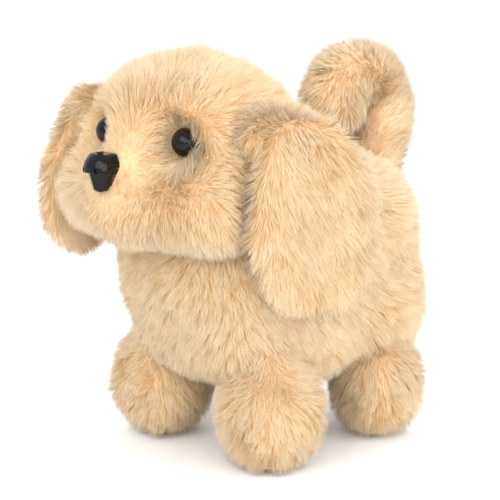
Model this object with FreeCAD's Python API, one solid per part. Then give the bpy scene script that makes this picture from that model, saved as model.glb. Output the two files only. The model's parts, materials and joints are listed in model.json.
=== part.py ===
"""Interactive plush puppy: a battery toy that walks, nods its head and wags its tail.

A furry skin is pulled over a two-piece plastic casing. One motor turns a crankshaft through three
gear stages. The crank pins swing four slotted legs, an eccentric lifts the nod yoke that tips the
head, and a tilted disc rocks the fork of the tail. Millimetres, +Z up, the nose points to -Y, the
puppy's left side is +X, and the origin is on the floor under the middle of the whole toy.
"""

import FreeCAD
import Part
import math
import os

V = FreeCAD.Vector
X_AXIS, Y_AXIS, Z_AXIS = V(1, 0, 0), V(0, 1, 0), V(0, 0, 1)
SIDES = {"left": 1, "right": -1}

# Drive line: the hips, the crankshaft and the gear axles share one height.
AXLE_Z = 70.0
FRONT_HIP_Y, HIND_HIP_Y = -25.0, 44.0
CRANK_Y = (FRONT_HIP_Y + HIND_HIP_Y) / 2
GEAR_MODULE = 0.6
MAIN_TEETH, BIG_TEETH, SMALL_TEETH = 36, 30, 10
SECOND_Y = CRANK_Y + GEAR_MODULE * (MAIN_TEETH + SMALL_TEETH) / 2
FIRST_Y = SECOND_Y + GEAR_MODULE * (BIG_TEETH + SMALL_TEETH) / 2
MOTOR_Y = FIRST_Y + GEAR_MODULE * (BIG_TEETH + SMALL_TEETH) / 2
GEAR_FACE = 4.0
MAIN_PLANE_X, MIDDLE_PLANE_X, OUTER_PLANE_X = 5.0, 10.0, 15.0
CRANK_SHAFT_R, GEAR_AXLE_R, RUNNING_GAP = 2.0, 1.0, 0.05
CRANK_THROW, CRANK_PIN_R = 4.5, 1.5

# Casing
CASE_HALF_X, CASE_FRONT_Y, CASE_REAR_Y = 23.0, -32.0, 62.0
CASE_LOW_Z, CASE_TOP_Z, CASE_WALL, CASE_CORNER_R = 39.0, 90.0, 2.0, 6.0
BUSH_R, SPEAKER_Z = 3.5, 68.0
CASE_SCREWS = ((-26.0, 45.0), (-26.0, 84.5), (57.0, 52.0), (57.0, 78.4))

# Nod and wag drives
NOD_AXIS_Y, NOD_AXIS_Z, NOD_PIN_R, PIVOT_EAR_X = -26.0, 116.0, 2.0, 14.5
NOD_THROW, NOD_CAM_R, NOD_CAM_X, NOD_CAM_THICK = 3.0, 5.5, -9.0, 3.0
YOKE_LOW_X, YOKE_HIGH_X = -7.2, -4.8
WAG_AXIS_Z, WAG_SHAFT_R, WAG_CLEAR_R = 83.5, 2.0, 33.0
WAG_DISC_R, WAG_DISC_THICK, WAG_TILT_DEG = 7.0, 1.2, 12.5
OPEN_GAP = 0.3

# Legs
TRACK_X = 35.3
HIP_PIN_R, LEG_PLATE = 2.5, 2.4
FRONT_PLATE_X, HIND_PLATE_X = 26.0, 29.0
SOLE_THICK, FOOT_TOP_Z, FOOT_HALF = 2.0, 8.0, 8.5

# Soft outer forms, at half the depth of the fur
BODY_HALF_X, BODY_FRONT_Y, BODY_REAR_Y = 48.0, -51.5, 78.5
BODY_LOW_Z, BODY_TOP_Z = 38.0, 129.0
HEAD_CENTRE, HEAD_RADII = V(0, -38.5, 137), V(50, 43, 43)
MUZZLE_CENTRE, MUZZLE_RADII = V(0, -65.5, 119), V(37, 28.5, 22)
SKULL_CENTRE, SKULL_RADII, SKULL_WALL = V(0, -36.5, 138), V(28, 24, 26), 2.0
EAR_CENTRE = {"left": V(64, -38.5, 116), "right": V(62, -37, 122)}
EAR_RADII = {"left": V(11, 33, 43), "right": V(11, 30, 40)}
EAR_SWEEP_DEG, EAR_TWIST_DEG = {"left": 12.0, "right": -14.0}, 14.0
EAR_ROOT, EAR_ROOT_R, EAR_ROOT_HALF_Y = V(52, -38.5, 150), 6.5, 14.0
TAIL_CENTRE_Y, TAIL_CENTRE_Z, TAIL_CURL_R, TAIL_TUBE_R = 65.5, 144.0, 18.0, 14.0
PAW_RADII, PAW_CENTRE_Z = {"front": V(24, 24, 25), "hind": V(22, 22, 25)}, 19.0
EYE_PLACE, EYE_R = V(24.3, -62.8, 146), 6.2
NOSE_PLACE = V(0, -88.8, 134.0)

# Batteries, door and switch
CELL_R, CELL_LENGTH, CELL_X, CELL_Z, CELL_FRONT_Y = 7.25, 50.5, 7.6, 49.3, -12.0
DOOR_HALF_X, DOOR_FRONT_Y, DOOR_REAR_Y, DOOR_AXIS_Z = 16.0, -14.0, 50.0, 40.0
DOOR_AXIS_X = 1.2 - DOOR_HALF_X
DOOR_SCREW_X, DOOR_SCREW_Y = 10.0, 46.5
SWITCH_Y = 55.0


# ---------------------------------------------------------------- shapes
def box(x0, x1, y0, y1, z0, z1):
    return Part.makeBox(x1 - x0, y1 - y0, z1 - z0, V(x0, y0, z0))


def rod(radius, start, end):
    """A round bar between two points."""
    way = end - start
    return Part.makeCylinder(radius, way.Length, start, way)


def rod_x(radius, x0, x1, y, z):
    return rod(radius, V(x0, y, z), V(x1, y, z))


def side_rod(radius, x0, x1, y, z, side):
    """A round bar along X, given by its distances from the middle plane on one side."""
    low, high = sorted((side * x0, side * x1))
    return rod_x(radius, low, high, y, z)


def rod_y(radius, y0, y1, x, z):
    return rod(radius, V(x, y0, z), V(x, y1, z))


def rod_z(radius, z0, z1, x, y):
    return rod(radius, V(x, y, z0), V(x, y, z1))


def ring_x(outer, inner, x0, x1, y, z):
    return rod_x(outer, x0, x1, y, z).cut(rod_x(inner, x0 - 1, x1 + 1, y, z))


def ellipsoid(centre, radii):
    stretch = FreeCAD.Matrix()
    stretch.scale(radii.x, radii.y, radii.z)
    ball = Part.makeSphere(1.0).transformGeometry(stretch)
    ball.translate(centre)
    return ball


def turned(shape, centre, axis, degrees):
    copy = shape.copy()
    copy.rotate(centre, axis, degrees)
    return copy


def mirrored(shape, side):
    """The shape itself on the left side, its mirror image on the right."""
    return shape if side > 0 else shape.mirror(V(0, 0, 0), X_AXIS)


def fused(shapes):
    whole = shapes[0]
    for shape in shapes[1:]:
        whole = whole.fuse(shape)
    return whole.removeSplitter()


def rounded_box(x0, x1, y0, y1, z0, z1, upright_r, rim_r, foot_r):
    """A box with rounded upright edges, then a rounded top rim and bottom rim."""
    solid = box(x0, x1, y0, y1, z0, z1)
    upright = [e for e in solid.Edges if abs(e.tangentAt(e.FirstParameter).z) > 0.9]
    solid = solid.makeFillet(upright_r, upright)
    for level, radius in ((z1, rim_r), (z0, foot_r)):
        if radius:
            rim = [e for e in solid.Edges if abs(e.BoundBox.ZMin - level) < 1e-6
                   and abs(e.BoundBox.ZMax - level) < 1e-6]
            solid = solid.makeFillet(radius, rim)
    return solid


def slab_x(points, x0, x1):
    """A flat plate in a YZ plane from its outline, x0 to x1 thick."""
    corners = [V(x0, y, z) for y, z in points]
    return Part.Face(Part.makePolygon(corners + corners[:1])).extrude(V(x1 - x0, 0, 0))


def write(node, *solids):
    shape = solids[0] if len(solids) == 1 else Part.makeCompound(list(solids))
    for solid in shape.Solids:
        if not solid.isValid() or solid.Volume <= 0:
            raise ValueError(f"{node} holds a bad solid")
    if not shape.Solids:
        raise ValueError(f"{node} is empty")
    shape.exportStep(f"parts/{node}.step")


# ---------------------------------------------------------------- gears
def involute(angle):
    return math.tan(angle) - angle


def gear(teeth, x0, y, tooth_up_deg, bore_r):
    """A spur gear about an X axis at (y, AXLE_Z), with a tooth at tooth_up_deg from +Y."""
    pressure, backlash = math.radians(20), 0.22
    pitch_r = GEAR_MODULE * teeth / 2
    base_r = pitch_r * math.cos(pressure)
    tip_r, root_r = pitch_r + 0.8 * GEAR_MODULE, pitch_r - 1.15 * GEAR_MODULE
    half_pitch = math.pi / (2 * teeth) - backlash / (2 * pitch_r)

    def half_width(radius):
        if radius <= base_r:
            taper = 0.72 + 0.28 * (radius - root_r) / (base_r - root_r)
            return (half_pitch + involute(pressure)) * taper
        return half_pitch + involute(pressure) - involute(math.acos(base_r / radius))

    flank = [root_r] + [r for r in (base_r, pitch_r) if r > root_r + 0.02] + [tip_r]
    outline = []
    for k in range(teeth):
        middle = math.radians(tooth_up_deg) + 2 * math.pi * k / teeth
        outline += [(r, middle - half_width(r)) for r in flank]
        outline += [(r, middle + half_width(r)) for r in reversed(flank)]
    points = [(y + r * math.cos(a), AXLE_Z + r * math.sin(a)) for r, a in outline]
    blank = slab_x(points, x0, x0 + GEAR_FACE)
    return blank.cut(rod_x(bore_r, x0 - 1, x0 + GEAR_FACE + 1, y, AXLE_Z))


def compound_gear(big_x, small_x, y):
    """A big gear and a pinion moulded in one piece, side by side on one axle."""
    bore = GEAR_AXLE_R + RUNNING_GAP
    half_tooth = 180.0 / SMALL_TEETH
    low = min(big_x, small_x) + GEAR_FACE
    neck = ring_x(2.2, bore, low, low + 1.0, y, AXLE_Z)
    return fused([gear(BIG_TEETH, big_x, y, 0.0, bore), neck,
                  gear(SMALL_TEETH, small_x, y, half_tooth, bore)])


def make_gears():
    half_tooth = 180.0 / SMALL_TEETH
    write("main_gear", gear(MAIN_TEETH, MAIN_PLANE_X, CRANK_Y, 0.0, CRANK_SHAFT_R))
    write("second_gear", compound_gear(MIDDLE_PLANE_X, MAIN_PLANE_X, SECOND_Y))
    write("first_gear", compound_gear(OUTER_PLANE_X, MIDDLE_PLANE_X, FIRST_Y))
    write("motor_pinion", gear(SMALL_TEETH, OUTER_PLANE_X, MOTOR_Y, half_tooth, GEAR_AXLE_R))
    inside = CASE_HALF_X - CASE_WALL
    write("gear_axles", *[rod_x(GEAR_AXLE_R, -inside + 2, inside, y, AXLE_Z) if y == SECOND_Y
                          else rod_x(GEAR_AXLE_R, 8.0, inside, y, AXLE_Z) for y in (SECOND_Y, FIRST_Y)])


# ---------------------------------------------------------------- crankshaft
def make_crankshaft():
    """The shaft with both crank discs, the nod eccentric and the tilted wag disc."""
    outer = CASE_HALF_X + 0.5
    disc_thick = 1.2
    write("crankshaft", rod_x(CRANK_SHAFT_R, -outer, outer, CRANK_Y, AXLE_Z))
    for name, side in SIDES.items():
        disc = rod_x(7.5, outer, outer + disc_thick, CRANK_Y, AXLE_Z)
        pin = rod_x(CRANK_PIN_R, outer, FRONT_PLATE_X - OPEN_GAP, CRANK_Y + side * CRANK_THROW, AXLE_Z)
        write(f"{name}_crank", mirrored(disc.fuse(pin), side))
    half = NOD_CAM_THICK / 2
    cam = rod_x(NOD_CAM_R, NOD_CAM_X - half, NOD_CAM_X + half, CRANK_Y + NOD_THROW, AXLE_Z)
    write("nod_eccentric", cam.cut(rod_x(CRANK_SHAFT_R, -20, 20, CRANK_Y, AXLE_Z)))
    middle = V(0, CRANK_Y, AXLE_Z)
    disc = rod_x(WAG_DISC_R, -WAG_DISC_THICK / 2, WAG_DISC_THICK / 2, CRANK_Y, AXLE_Z)
    disc = turned(disc, middle, Z_AXIS, WAG_TILT_DEG)
    hub = rod_x(3.6, -2.4, 2.4, CRANK_Y, AXLE_Z)
    write("wag_disc", disc.fuse(hub).cut(rod_x(CRANK_SHAFT_R, -20, 20, CRANK_Y, AXLE_Z)))


# ---------------------------------------------------------------- casing
def casing_shell():
    outer = rounded_box(-CASE_HALF_X, CASE_HALF_X, CASE_FRONT_Y, CASE_REAR_Y, CASE_LOW_Z,
                        CASE_TOP_Z, CASE_CORNER_R, 2.0, 2.0)
    w = CASE_WALL
    inner = rounded_box(-CASE_HALF_X + w, CASE_HALF_X - w, CASE_FRONT_Y + w, CASE_REAR_Y - w,
                        CASE_LOW_Z + w, CASE_TOP_Z - w, CASE_CORNER_R - w, 0, 0)
    return outer.cut(inner)


def make_casing():
    shell = casing_shell()
    inside = CASE_HALF_X - CASE_WALL
    neck = box(-5, 5, NOD_AXIS_Y - 5, NOD_AXIS_Y + 5, CASE_TOP_Z - 1, NOD_AXIS_Z)
    neck = neck.fuse(rod_x(5, -5, 5, NOD_AXIS_Y, NOD_AXIS_Z))
    screw_boss = rod_z(3.6, CASE_LOW_Z + CASE_WALL - 0.5, 56, DOOR_SCREW_X, DOOR_SCREW_Y)
    adds = [shell, neck, screw_boss]
    for side in SIDES.values():
        for y, plate_x in ((FRONT_HIP_Y, FRONT_PLATE_X), (HIND_HIP_Y, HIND_PLATE_X)):
            adds.append(side_rod(5, inside + 0.5, plate_x - 0.2, y, AXLE_Z, side))
    adds += [rod_x(2.6, -inside - 0.5, -2, y, z) for y, z in CASE_SCREWS]
    whole = adds[0]
    for add in adds[1:]:
        whole = whole.fuse(add)
    cuts = [
        box(-DOOR_HALF_X, DOOR_HALF_X, DOOR_FRONT_Y, DOOR_REAR_Y, CASE_LOW_Z - 1, CASE_LOW_Z + CASE_WALL),
        rod_y(0.65, DOOR_FRONT_Y - 1.6, DOOR_REAR_Y + 1.6, DOOR_AXIS_X, DOOR_AXIS_Z),
        rod_z(2.0, CASE_LOW_Z, 52, DOOR_SCREW_X, DOOR_SCREW_Y),
        box(-4.4, 4.4, SWITCH_Y - 1.7, SWITCH_Y + 1.7, CASE_LOW_Z - 1, CASE_LOW_Z + CASE_WALL + 0.1),
        rod_x(BUSH_R, -CASE_HALF_X - 1, CASE_HALF_X + 1, CRANK_Y, AXLE_Z),
        rod_x(NOD_PIN_R, -6, 6, NOD_AXIS_Y, NOD_AXIS_Z),
        rod_y(WAG_SHAFT_R + RUNNING_GAP, CASE_REAR_Y - 3, CASE_REAR_Y + 1, 0, WAG_AXIS_Z),
        box(YOKE_LOW_X - 0.8, YOKE_HIGH_X + 0.8, CRANK_Y - 3, CRANK_Y + 3, CASE_TOP_Z - 3, CASE_TOP_Z + 1),
        rod_y(1.6, CASE_FRONT_Y - 1, CASE_FRONT_Y + 3, 0, SPEAKER_Z),
    ]
    for ring_r, count in ((5.0, 6), (9.5, 12)):
        for k in range(count):
            turn = 2 * math.pi * k / count
            cuts.append(rod_y(1.4, CASE_FRONT_Y - 1, CASE_FRONT_Y + 3,
                              ring_r * math.cos(turn), SPEAKER_Z + ring_r * math.sin(turn)))
    for side in SIDES.values():
        for y, plate_x in ((FRONT_HIP_Y, FRONT_PLATE_X), (HIND_HIP_Y, HIND_PLATE_X)):
            cuts.append(side_rod(HIP_PIN_R, inside + 0.3, plate_x + 1, y, AXLE_Z, side))
    for y, z in CASE_SCREWS:
        cuts.append(rod_x(3.0, CASE_HALF_X - 1.2, CASE_HALF_X + 1, y, z))
        cuts.append(rod_x(1.5, inside - 1, CASE_HALF_X, y, z))
        cuts.append(rod_x(1.5, -14.5, 0, y, z))
    for cut in cuts:
        whole = whole.cut(cut)
    write("left_casing", whole.common(box(0, 60, -80, 100, 0, 200)))
    write("right_casing", whole.common(box(-60, 0, -80, 100, 0, 200)))


def make_fasteners():
    """Four long casing screws from the left, a shoulder screw at each hip and the crank bushes."""
    screws = []
    for y, z in CASE_SCREWS:
        face = CASE_HALF_X - 0.2
        head = rod_x(2.8, face - 1.0, face, y, z)
        slot = box(face - 0.5, face + 1, y - 2.0, y + 2.0, z - 0.35, z + 0.35)
        slot = slot.fuse(box(face - 0.5, face + 1, y - 0.35, y + 0.35, z - 2.0, z + 2.0))
        shank = rod_x(1.45, -14, face - 1.0, y, z)
        screws.append(head.fuse(shank).cut(slot))
    write("casing_screws", *screws)
    hip_screws = []
    for side in SIDES.values():
        for y, plate_x in ((FRONT_HIP_Y, FRONT_PLATE_X), (HIND_HIP_Y, HIND_PLATE_X)):
            face = plate_x + LEG_PLATE + 0.3
            shank = side_rod(HIP_PIN_R, CASE_HALF_X - CASE_WALL + 0.3, face, y, AXLE_Z, side)
            head = side_rod(4.3, face, face + 1.8, y, AXLE_Z, side)
            slot = box(-60, 60, y - 3, y + 3, AXLE_Z - 0.5, AXLE_Z + 0.5)
            head = head.cut(slot.cut(box(-face - 1.0, face + 1.0, y - 4, y + 4, AXLE_Z - 1, AXLE_Z + 1)))
            hip_screws.append(shank.fuse(head))
    write("hip_screws", *hip_screws)
    bush = ring_x(BUSH_R, CRANK_SHAFT_R + RUNNING_GAP, CASE_HALF_X - CASE_WALL, CASE_HALF_X, CRANK_Y, AXLE_Z)
    flange = ring_x(5.0, CRANK_SHAFT_R + RUNNING_GAP, CASE_HALF_X - CASE_WALL - 1.2,
                    CASE_HALF_X - CASE_WALL, CRANK_Y, AXLE_Z)
    write("crank_bushes", *[mirrored(bush.fuse(flange), side) for side in SIDES.values()])


# ---------------------------------------------------------------- power and sound
def make_battery_bay():
    low, w = CASE_LOW_Z + CASE_WALL, 1.2
    front, rear, top = CELL_FRONT_Y - 2.5, CELL_FRONT_Y + CELL_LENGTH + 2.5, 57.0
    tray = box(-16 - w, 16 + w, front - w, rear + w, low, top + w)
    tray = tray.cut(box(-16, 16, front, rear, low - 1, top))
    write("battery_tray", tray)
    cells, contacts = [], []
    for x, turn in ((-CELL_X, 1), (CELL_X, -1)):
        can = rod_y(CELL_R, CELL_FRONT_Y, CELL_FRONT_Y + CELL_LENGTH - 1.2, x, CELL_Z)
        tip = rod_y(2.7, CELL_FRONT_Y + CELL_LENGTH - 1.2, CELL_FRONT_Y + CELL_LENGTH, x, CELL_Z)
        cell = can.fuse(tip)
        if turn < 0:
            cell = turned(cell, V(x, CELL_FRONT_Y + CELL_LENGTH / 2, CELL_Z), Z_AXIS, 180)
        cells.append(cell)
    for y, way in ((front, 1), (rear, -1)):
        plate = box(-14, 14, min(y, y + way * 0.5), max(y, y + way * 0.5), CELL_Z - 5, CELL_Z + 5)
        leaves = [Part.makeCone(4.2, 1.6, 1.9, V(x, y + way * 0.5, CELL_Z), V(0, way, 0))
                  for x in (-CELL_X, CELL_X)]
        contacts.append(fused([plate] + leaves))
    write("battery_cells", *cells)
    write("battery_contacts", *contacts)


def make_battery_door():
    """A flat lid that hinges along its right edge, with a captive screw near the other edge."""
    half, front, rear = DOOR_HALF_X - 0.3, DOOR_FRONT_Y + 0.3, DOOR_REAR_Y - 0.3
    plate = box(DOOR_AXIS_X, half, front, rear, CASE_LOW_Z, CASE_LOW_Z + CASE_WALL)
    knuckle = rod_y(1.0, front, rear, DOOR_AXIS_X, DOOR_AXIS_Z)
    pins = rod_y(0.6, front - 1.5, rear + 1.5, DOOR_AXIS_X, DOOR_AXIS_Z)
    door = fused([plate, knuckle, pins])
    for k in range(5):
        y = 18.0 + 3.0 * k
        door = door.cut(box(-9, 9, y, y + 1.2, CASE_LOW_Z - 1, CASE_LOW_Z + 0.6))
    x, y = DOOR_SCREW_X, DOOR_SCREW_Y
    door = door.cut(rod_z(2.7, CASE_LOW_Z - 1, CASE_LOW_Z + 1.1, x, y))
    door = door.cut(rod_z(1.2, CASE_LOW_Z - 1, CASE_LOW_Z + 4, x, y))
    write("battery_door", door)
    head = rod_z(2.6, CASE_LOW_Z, CASE_LOW_Z + 1.1, x, y)
    shank = rod_z(1.2, CASE_LOW_Z + 1.1, CASE_LOW_Z + 4.5, x, y)
    slot = box(x - 2, x + 2, y - 0.35, y + 0.35, CASE_LOW_Z - 1, CASE_LOW_Z + 0.6)
    write("door_screw", head.fuse(shank).cut(slot))


def make_switch():
    knob = box(-4, -0.5, SWITCH_Y - 1.5, SWITCH_Y + 1.5, CASE_LOW_Z - 1.2, CASE_LOW_Z + 3.2)
    ribs = [box(-4.5, 0, SWITCH_Y - 0.3 + s, SWITCH_Y + 0.3 + s, CASE_LOW_Z - 2, CASE_LOW_Z - 0.8)
            for s in (-0.9, 0.9)]
    flange = box(-6.5, 2, SWITCH_Y - 2.8, SWITCH_Y + 2.8, CASE_LOW_Z + 2.3, CASE_LOW_Z + 3.2)
    write("switch_slider", knob.cut(Part.makeCompound(ribs)).fuse(flange))
    housing = box(-9, 9, SWITCH_Y - 3.4, SWITCH_Y + 3.4, CASE_LOW_Z + 3.5, CASE_LOW_Z + 8)
    write("switch_body", housing)


def make_motor():
    """A flat-sided can with its bearing nose. The pinion sits on the shaft."""
    can = rod_x(10, -14, 8, MOTOR_Y, AXLE_Z)
    can = can.common(box(-20, 20, 0, 100, AXLE_Z - 7.5, AXLE_Z + 7.5))
    nose = rod_x(3, 8, 9.6, MOTOR_Y, AXLE_Z)
    bore = rod_x(GEAR_AXLE_R + RUNNING_GAP, 2, 10, MOTOR_Y, AXLE_Z)
    write("motor_can", can.fuse(nose).cut(bore))
    write("motor_shaft", rod_x(GEAR_AXLE_R, 2.2, OUTER_PLANE_X + GEAR_FACE + 0.5, MOTOR_Y, AXLE_Z))
    cap = rod_x(9, -16, -14, MOTOR_Y, AXLE_Z).common(box(-20, 20, 0, 100, AXLE_Z - 7, AXLE_Z + 7))
    tabs = [box(-18, -16, MOTOR_Y + s - 1, MOTOR_Y + s + 1, AXLE_Z - 0.3, AXLE_Z + 0.3) for s in (-6, 6)]
    write("motor_end_cap", fused([cap] + tabs))


def make_speaker():
    face = CASE_FRONT_Y + CASE_WALL
    frame = rod_y(14, face, face + 1.2, 0, SPEAKER_Z).cut(rod_y(12.4, face - 1, face + 3, 0, SPEAKER_Z))
    basket = Part.makeCone(14, 7.5, 6, V(0, face + 1.2, SPEAKER_Z), Y_AXIS)
    basket = basket.cut(Part.makeCone(12.9, 6.4, 6, V(0, face + 1.2, SPEAKER_Z), Y_AXIS))
    write("speaker_frame", frame.fuse(basket))
    cone = Part.makeCone(11.6, 4.0, 4.2, V(0, face + 1.3, SPEAKER_Z), Y_AXIS)
    cone = cone.cut(Part.makeCone(10.9, 3.3, 3.6, V(0, face + 1.2, SPEAKER_Z), Y_AXIS))
    write("speaker_cone", cone)
    write("speaker_magnet", rod_y(7.5, face + 7.2, face + 11.5, 0, SPEAKER_Z))


def make_circuit_board():
    z = 83.4
    board = box(-18, 18, -14, 3, z, z + 1.6)
    for x, y in ((-15.5, -11.5), (15.5, -11.5), (-15.5, 0.5), (15.5, 0.5)):
        board = board.cut(rod_z(1.1, z - 1, z + 3, x, y))
    write("circuit_board", board)
    chips = [box(-5, 3, -9, -3, z - 1.3, z), box(8, 12, -8, -4, z - 1.0, z)]
    cans = [rod_z(2.5, z - 5, z, -14.5, y) for y in (-8.0, -2.0)]
    write("board_parts", *(chips + cans))


# ---------------------------------------------------------------- head drive
def make_nod_yoke():
    """A window frame beside the eccentric, with a stem to the head and a cross pin at its top."""
    x0, x1 = YOKE_LOW_X, YOKE_HIGH_X
    half_y, half_z = NOD_CAM_R + NOD_THROW + 0.5, NOD_CAM_R + 0.85
    frame = box(x0, x1, CRANK_Y - half_y - 2, CRANK_Y + half_y + 2,
                AXLE_Z - half_z - 1.8, AXLE_Z + half_z + 1.8)
    frame = frame.cut(box(x0 - 1, x1 + 1, CRANK_Y - half_y, CRANK_Y + half_y,
                          AXLE_Z - half_z, AXLE_Z + half_z))
    stem = box(x0, x1, CRANK_Y - 2, CRANK_Y + 2, AXLE_Z + half_z + 1, NOD_AXIS_Z + 3)
    pin = rod_x(1.2, x0 - 3.4, x0, CRANK_Y, NOD_AXIS_Z)
    write("nod_yoke", fused([frame, stem, pin]))


def nod_lever():
    """The arm that the yoke lifts, with a sleeve on the neck pin up to the skull's right pivot ear."""
    x1 = YOKE_LOW_X - OPEN_GAP
    x0 = x1 - 2.6
    bar = box(x0, x1, NOD_AXIS_Y, CRANK_Y + 4, NOD_AXIS_Z - 3.2, NOD_AXIS_Z + 3.2)
    sleeve = rod_x(5, -PIVOT_EAR_X, x1, NOD_AXIS_Y, NOD_AXIS_Z)
    slot = box(x0 - 1, x1 + 1, CRANK_Y - 1.9, CRANK_Y + 1.9, NOD_AXIS_Z - 1.4, NOD_AXIS_Z + 1.4)
    return bar.fuse(sleeve).cut(slot)


def make_skull():
    """A hollow plastic shell in a face half and a back half, which carries the pivot ears."""
    w = SKULL_WALL
    outer = ellipsoid(SKULL_CENTRE, SKULL_RADII)
    hollow = ellipsoid(SKULL_CENTRE, SKULL_RADII - V(w, w, w))
    gate = PIVOT_EAR_X
    shell = outer.cut(hollow).cut(box(-gate, gate, -56, 0, 90, 127))
    front = shell.common(box(-60, 60, -120, SKULL_CENTRE.y, 0, 250))
    back = shell.common(box(-60, 60, SKULL_CENTRE.y, 60, 0, 250))
    ears = []
    for side in SIDES.values():
        lug = side_rod(5, PIVOT_EAR_X, PIVOT_EAR_X + 4, NOD_AXIS_Y, NOD_AXIS_Z, side)
        x0, x1 = sorted((side * PIVOT_EAR_X, side * (PIVOT_EAR_X + 4)))
        ears.append(lug.fuse(box(x0, x1, NOD_AXIS_Y - 5, NOD_AXIS_Y + 5, NOD_AXIS_Z, 130)))
    for ear in ears:
        back = back.fuse(ear)
    bore = rod_x(NOD_PIN_R + RUNNING_GAP, -30, 30, NOD_AXIS_Y, NOD_AXIS_Z)
    write("skull_front", front)
    write("skull_back", back.cut(bore))
    write("nod_lever", nod_lever().cut(bore))
    write("neck_pin", rod_x(NOD_PIN_R, -20, 20, NOD_AXIS_Y, NOD_AXIS_Z))


# ---------------------------------------------------------------- tail drive
def tail_path():
    """The straight root and the curl of the tail in the plane X = 0."""
    turn_0, turn_1 = math.radians(-15), math.radians(160)
    middle = V(0, TAIL_CENTRE_Y, TAIL_CENTRE_Z)

    def at(turn):
        return middle + V(0, TAIL_CURL_R * math.cos(turn), TAIL_CURL_R * math.sin(turn))

    root_way = V(0, math.sin(turn_0), -math.cos(turn_0))
    return at(turn_0), root_way, at((turn_0 + turn_1) / 2), at(turn_1)


def tail_pipe(radius, root_length):
    """A round tube along the tail, from root_length below the curl to its tip."""
    joint, root_way, top, tip = tail_path()
    start = joint + root_way * root_length
    line = Part.makeLine(start, joint)
    arc = Part.Arc(joint, top, tip).toShape()
    profile = Part.Wire(Part.makeCircle(radius, start, root_way))
    return Part.Wire([line, arc]).makePipeShell([profile], True, False)


def make_tail():
    shaft = rod_y(WAG_SHAFT_R, CRANK_Y - 2, 64, 0, WAG_AXIS_Z)
    write("wag_shaft", shaft)
    tine_low, gap, tine = AXLE_Z + WAG_DISC_R + 1.2, 1.5, 1.2
    block = box(-gap - tine, gap + tine, CRANK_Y - 1.9, CRANK_Y + 1.9, tine_low + 2.4, WAG_AXIS_Z)
    block = block.fuse(rod_y(3.4, CRANK_Y - 1.9, CRANK_Y + 1.9, 0, WAG_AXIS_Z))
    tines = [box(x, x + tine, CRANK_Y - 1.9, CRANK_Y + 1.9, tine_low, tine_low + 3)
             for x in (-gap - tine, gap)]
    fork = fused([block] + tines).cut(rod_y(WAG_SHAFT_R, 0, 70, 0, WAG_AXIS_Z))
    write("wag_fork", fork)
    hub = box(-4, 4, CASE_REAR_Y + 0.6, 71, WAG_AXIS_Z - 4, WAG_AXIS_Z + 6)
    joint, root_way, _, tip = tail_path()
    reach = (joint.z - WAG_AXIS_Z) / -root_way.z
    core = tail_pipe(1.5, reach - 1.0)
    hub = hub.cut(rod_y(WAG_SHAFT_R, 50, 64, 0, WAG_AXIS_Z)).cut(core)
    write("tail_hub", hub)
    write("tail_rod", core)
    plush = tail_pipe(TAIL_TUBE_R, 40.0)
    plush = plush.fuse(Part.makeSphere(TAIL_TUBE_R, tip))
    plush = plush.cut(rod_y(WAG_CLEAR_R + 0.6, 20, 120, 0, WAG_AXIS_Z)).cut(core)
    write("tail_plush", max(plush.Solids, key=lambda s: s.Volume))


# ---------------------------------------------------------------- legs
def leg_frame(hip_y, plate_x, arm_way):
    """A leg on the left side: hip eye, strut, foot block and the slotted arm to the crank pin."""
    x0, x1 = plate_x, plate_x + LEG_PLATE
    eye = rod_x(6.5, x0, x1, hip_y, AXLE_Z)
    toe = box(x0, TRACK_X, hip_y - 4.5, hip_y + 4.5, SOLE_THICK, FOOT_TOP_Z)
    strut = slab_x([(hip_y - 6, AXLE_Z), (hip_y - 4.5, FOOT_TOP_Z - 2), (hip_y + 4.5, FOOT_TOP_Z - 2),
                    (hip_y + 6, AXLE_Z)], x0, x1)
    h = FOOT_HALF
    foot = rounded_box(TRACK_X - h, TRACK_X + h, hip_y - h, hip_y + h, SOLE_THICK, FOOT_TOP_Z, 6, 1.5, 0)
    y0, y1 = sorted((hip_y, CRANK_Y + arm_way * 8.7))
    arm = box(x0, x1, y0, y1, AXLE_Z - 5, AXLE_Z + 5)
    slot = box(x0 - 1, x1 + 1, CRANK_Y - 6.5, CRANK_Y + 6.5, AXLE_Z - 2.8, AXLE_Z + 2.8)
    leg = fused([eye, strut, toe, foot, arm]).cut(slot)
    return leg.cut(rod_x(HIP_PIN_R + RUNNING_GAP, x0 - 1, x1 + 1, hip_y, AXLE_Z))


def paw(end, hip_y):
    """The furry paw: a round form under the hip, hollowed for the leg frame and open below."""
    centre = V(TRACK_X, hip_y, PAW_CENTRE_Z)
    form = ellipsoid(centre, PAW_RADII[end])
    form = form.common(box(0, 80, hip_y - 40, hip_y + 40, 1.2, 35))
    form = form.cut(rod_x(37.2, 0, 80, hip_y, AXLE_Z))
    gap = 0.3
    h = FOOT_HALF + gap
    foot = box(TRACK_X - h, TRACK_X + h, hip_y - h, hip_y + h, 0, FOOT_TOP_Z + gap)
    x0 = FRONT_PLATE_X if end == "front" else HIND_PLATE_X
    toe = box(x0 - gap, TRACK_X, hip_y - 4.5 - gap, hip_y + 4.5 + gap, 0, FOOT_TOP_Z + gap)
    strut = box(x0 - gap, x0 + LEG_PLATE + gap, hip_y - 6.3, hip_y + 6.3, 0, 40)
    return form.cut(foot).cut(toe).cut(strut)


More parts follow.
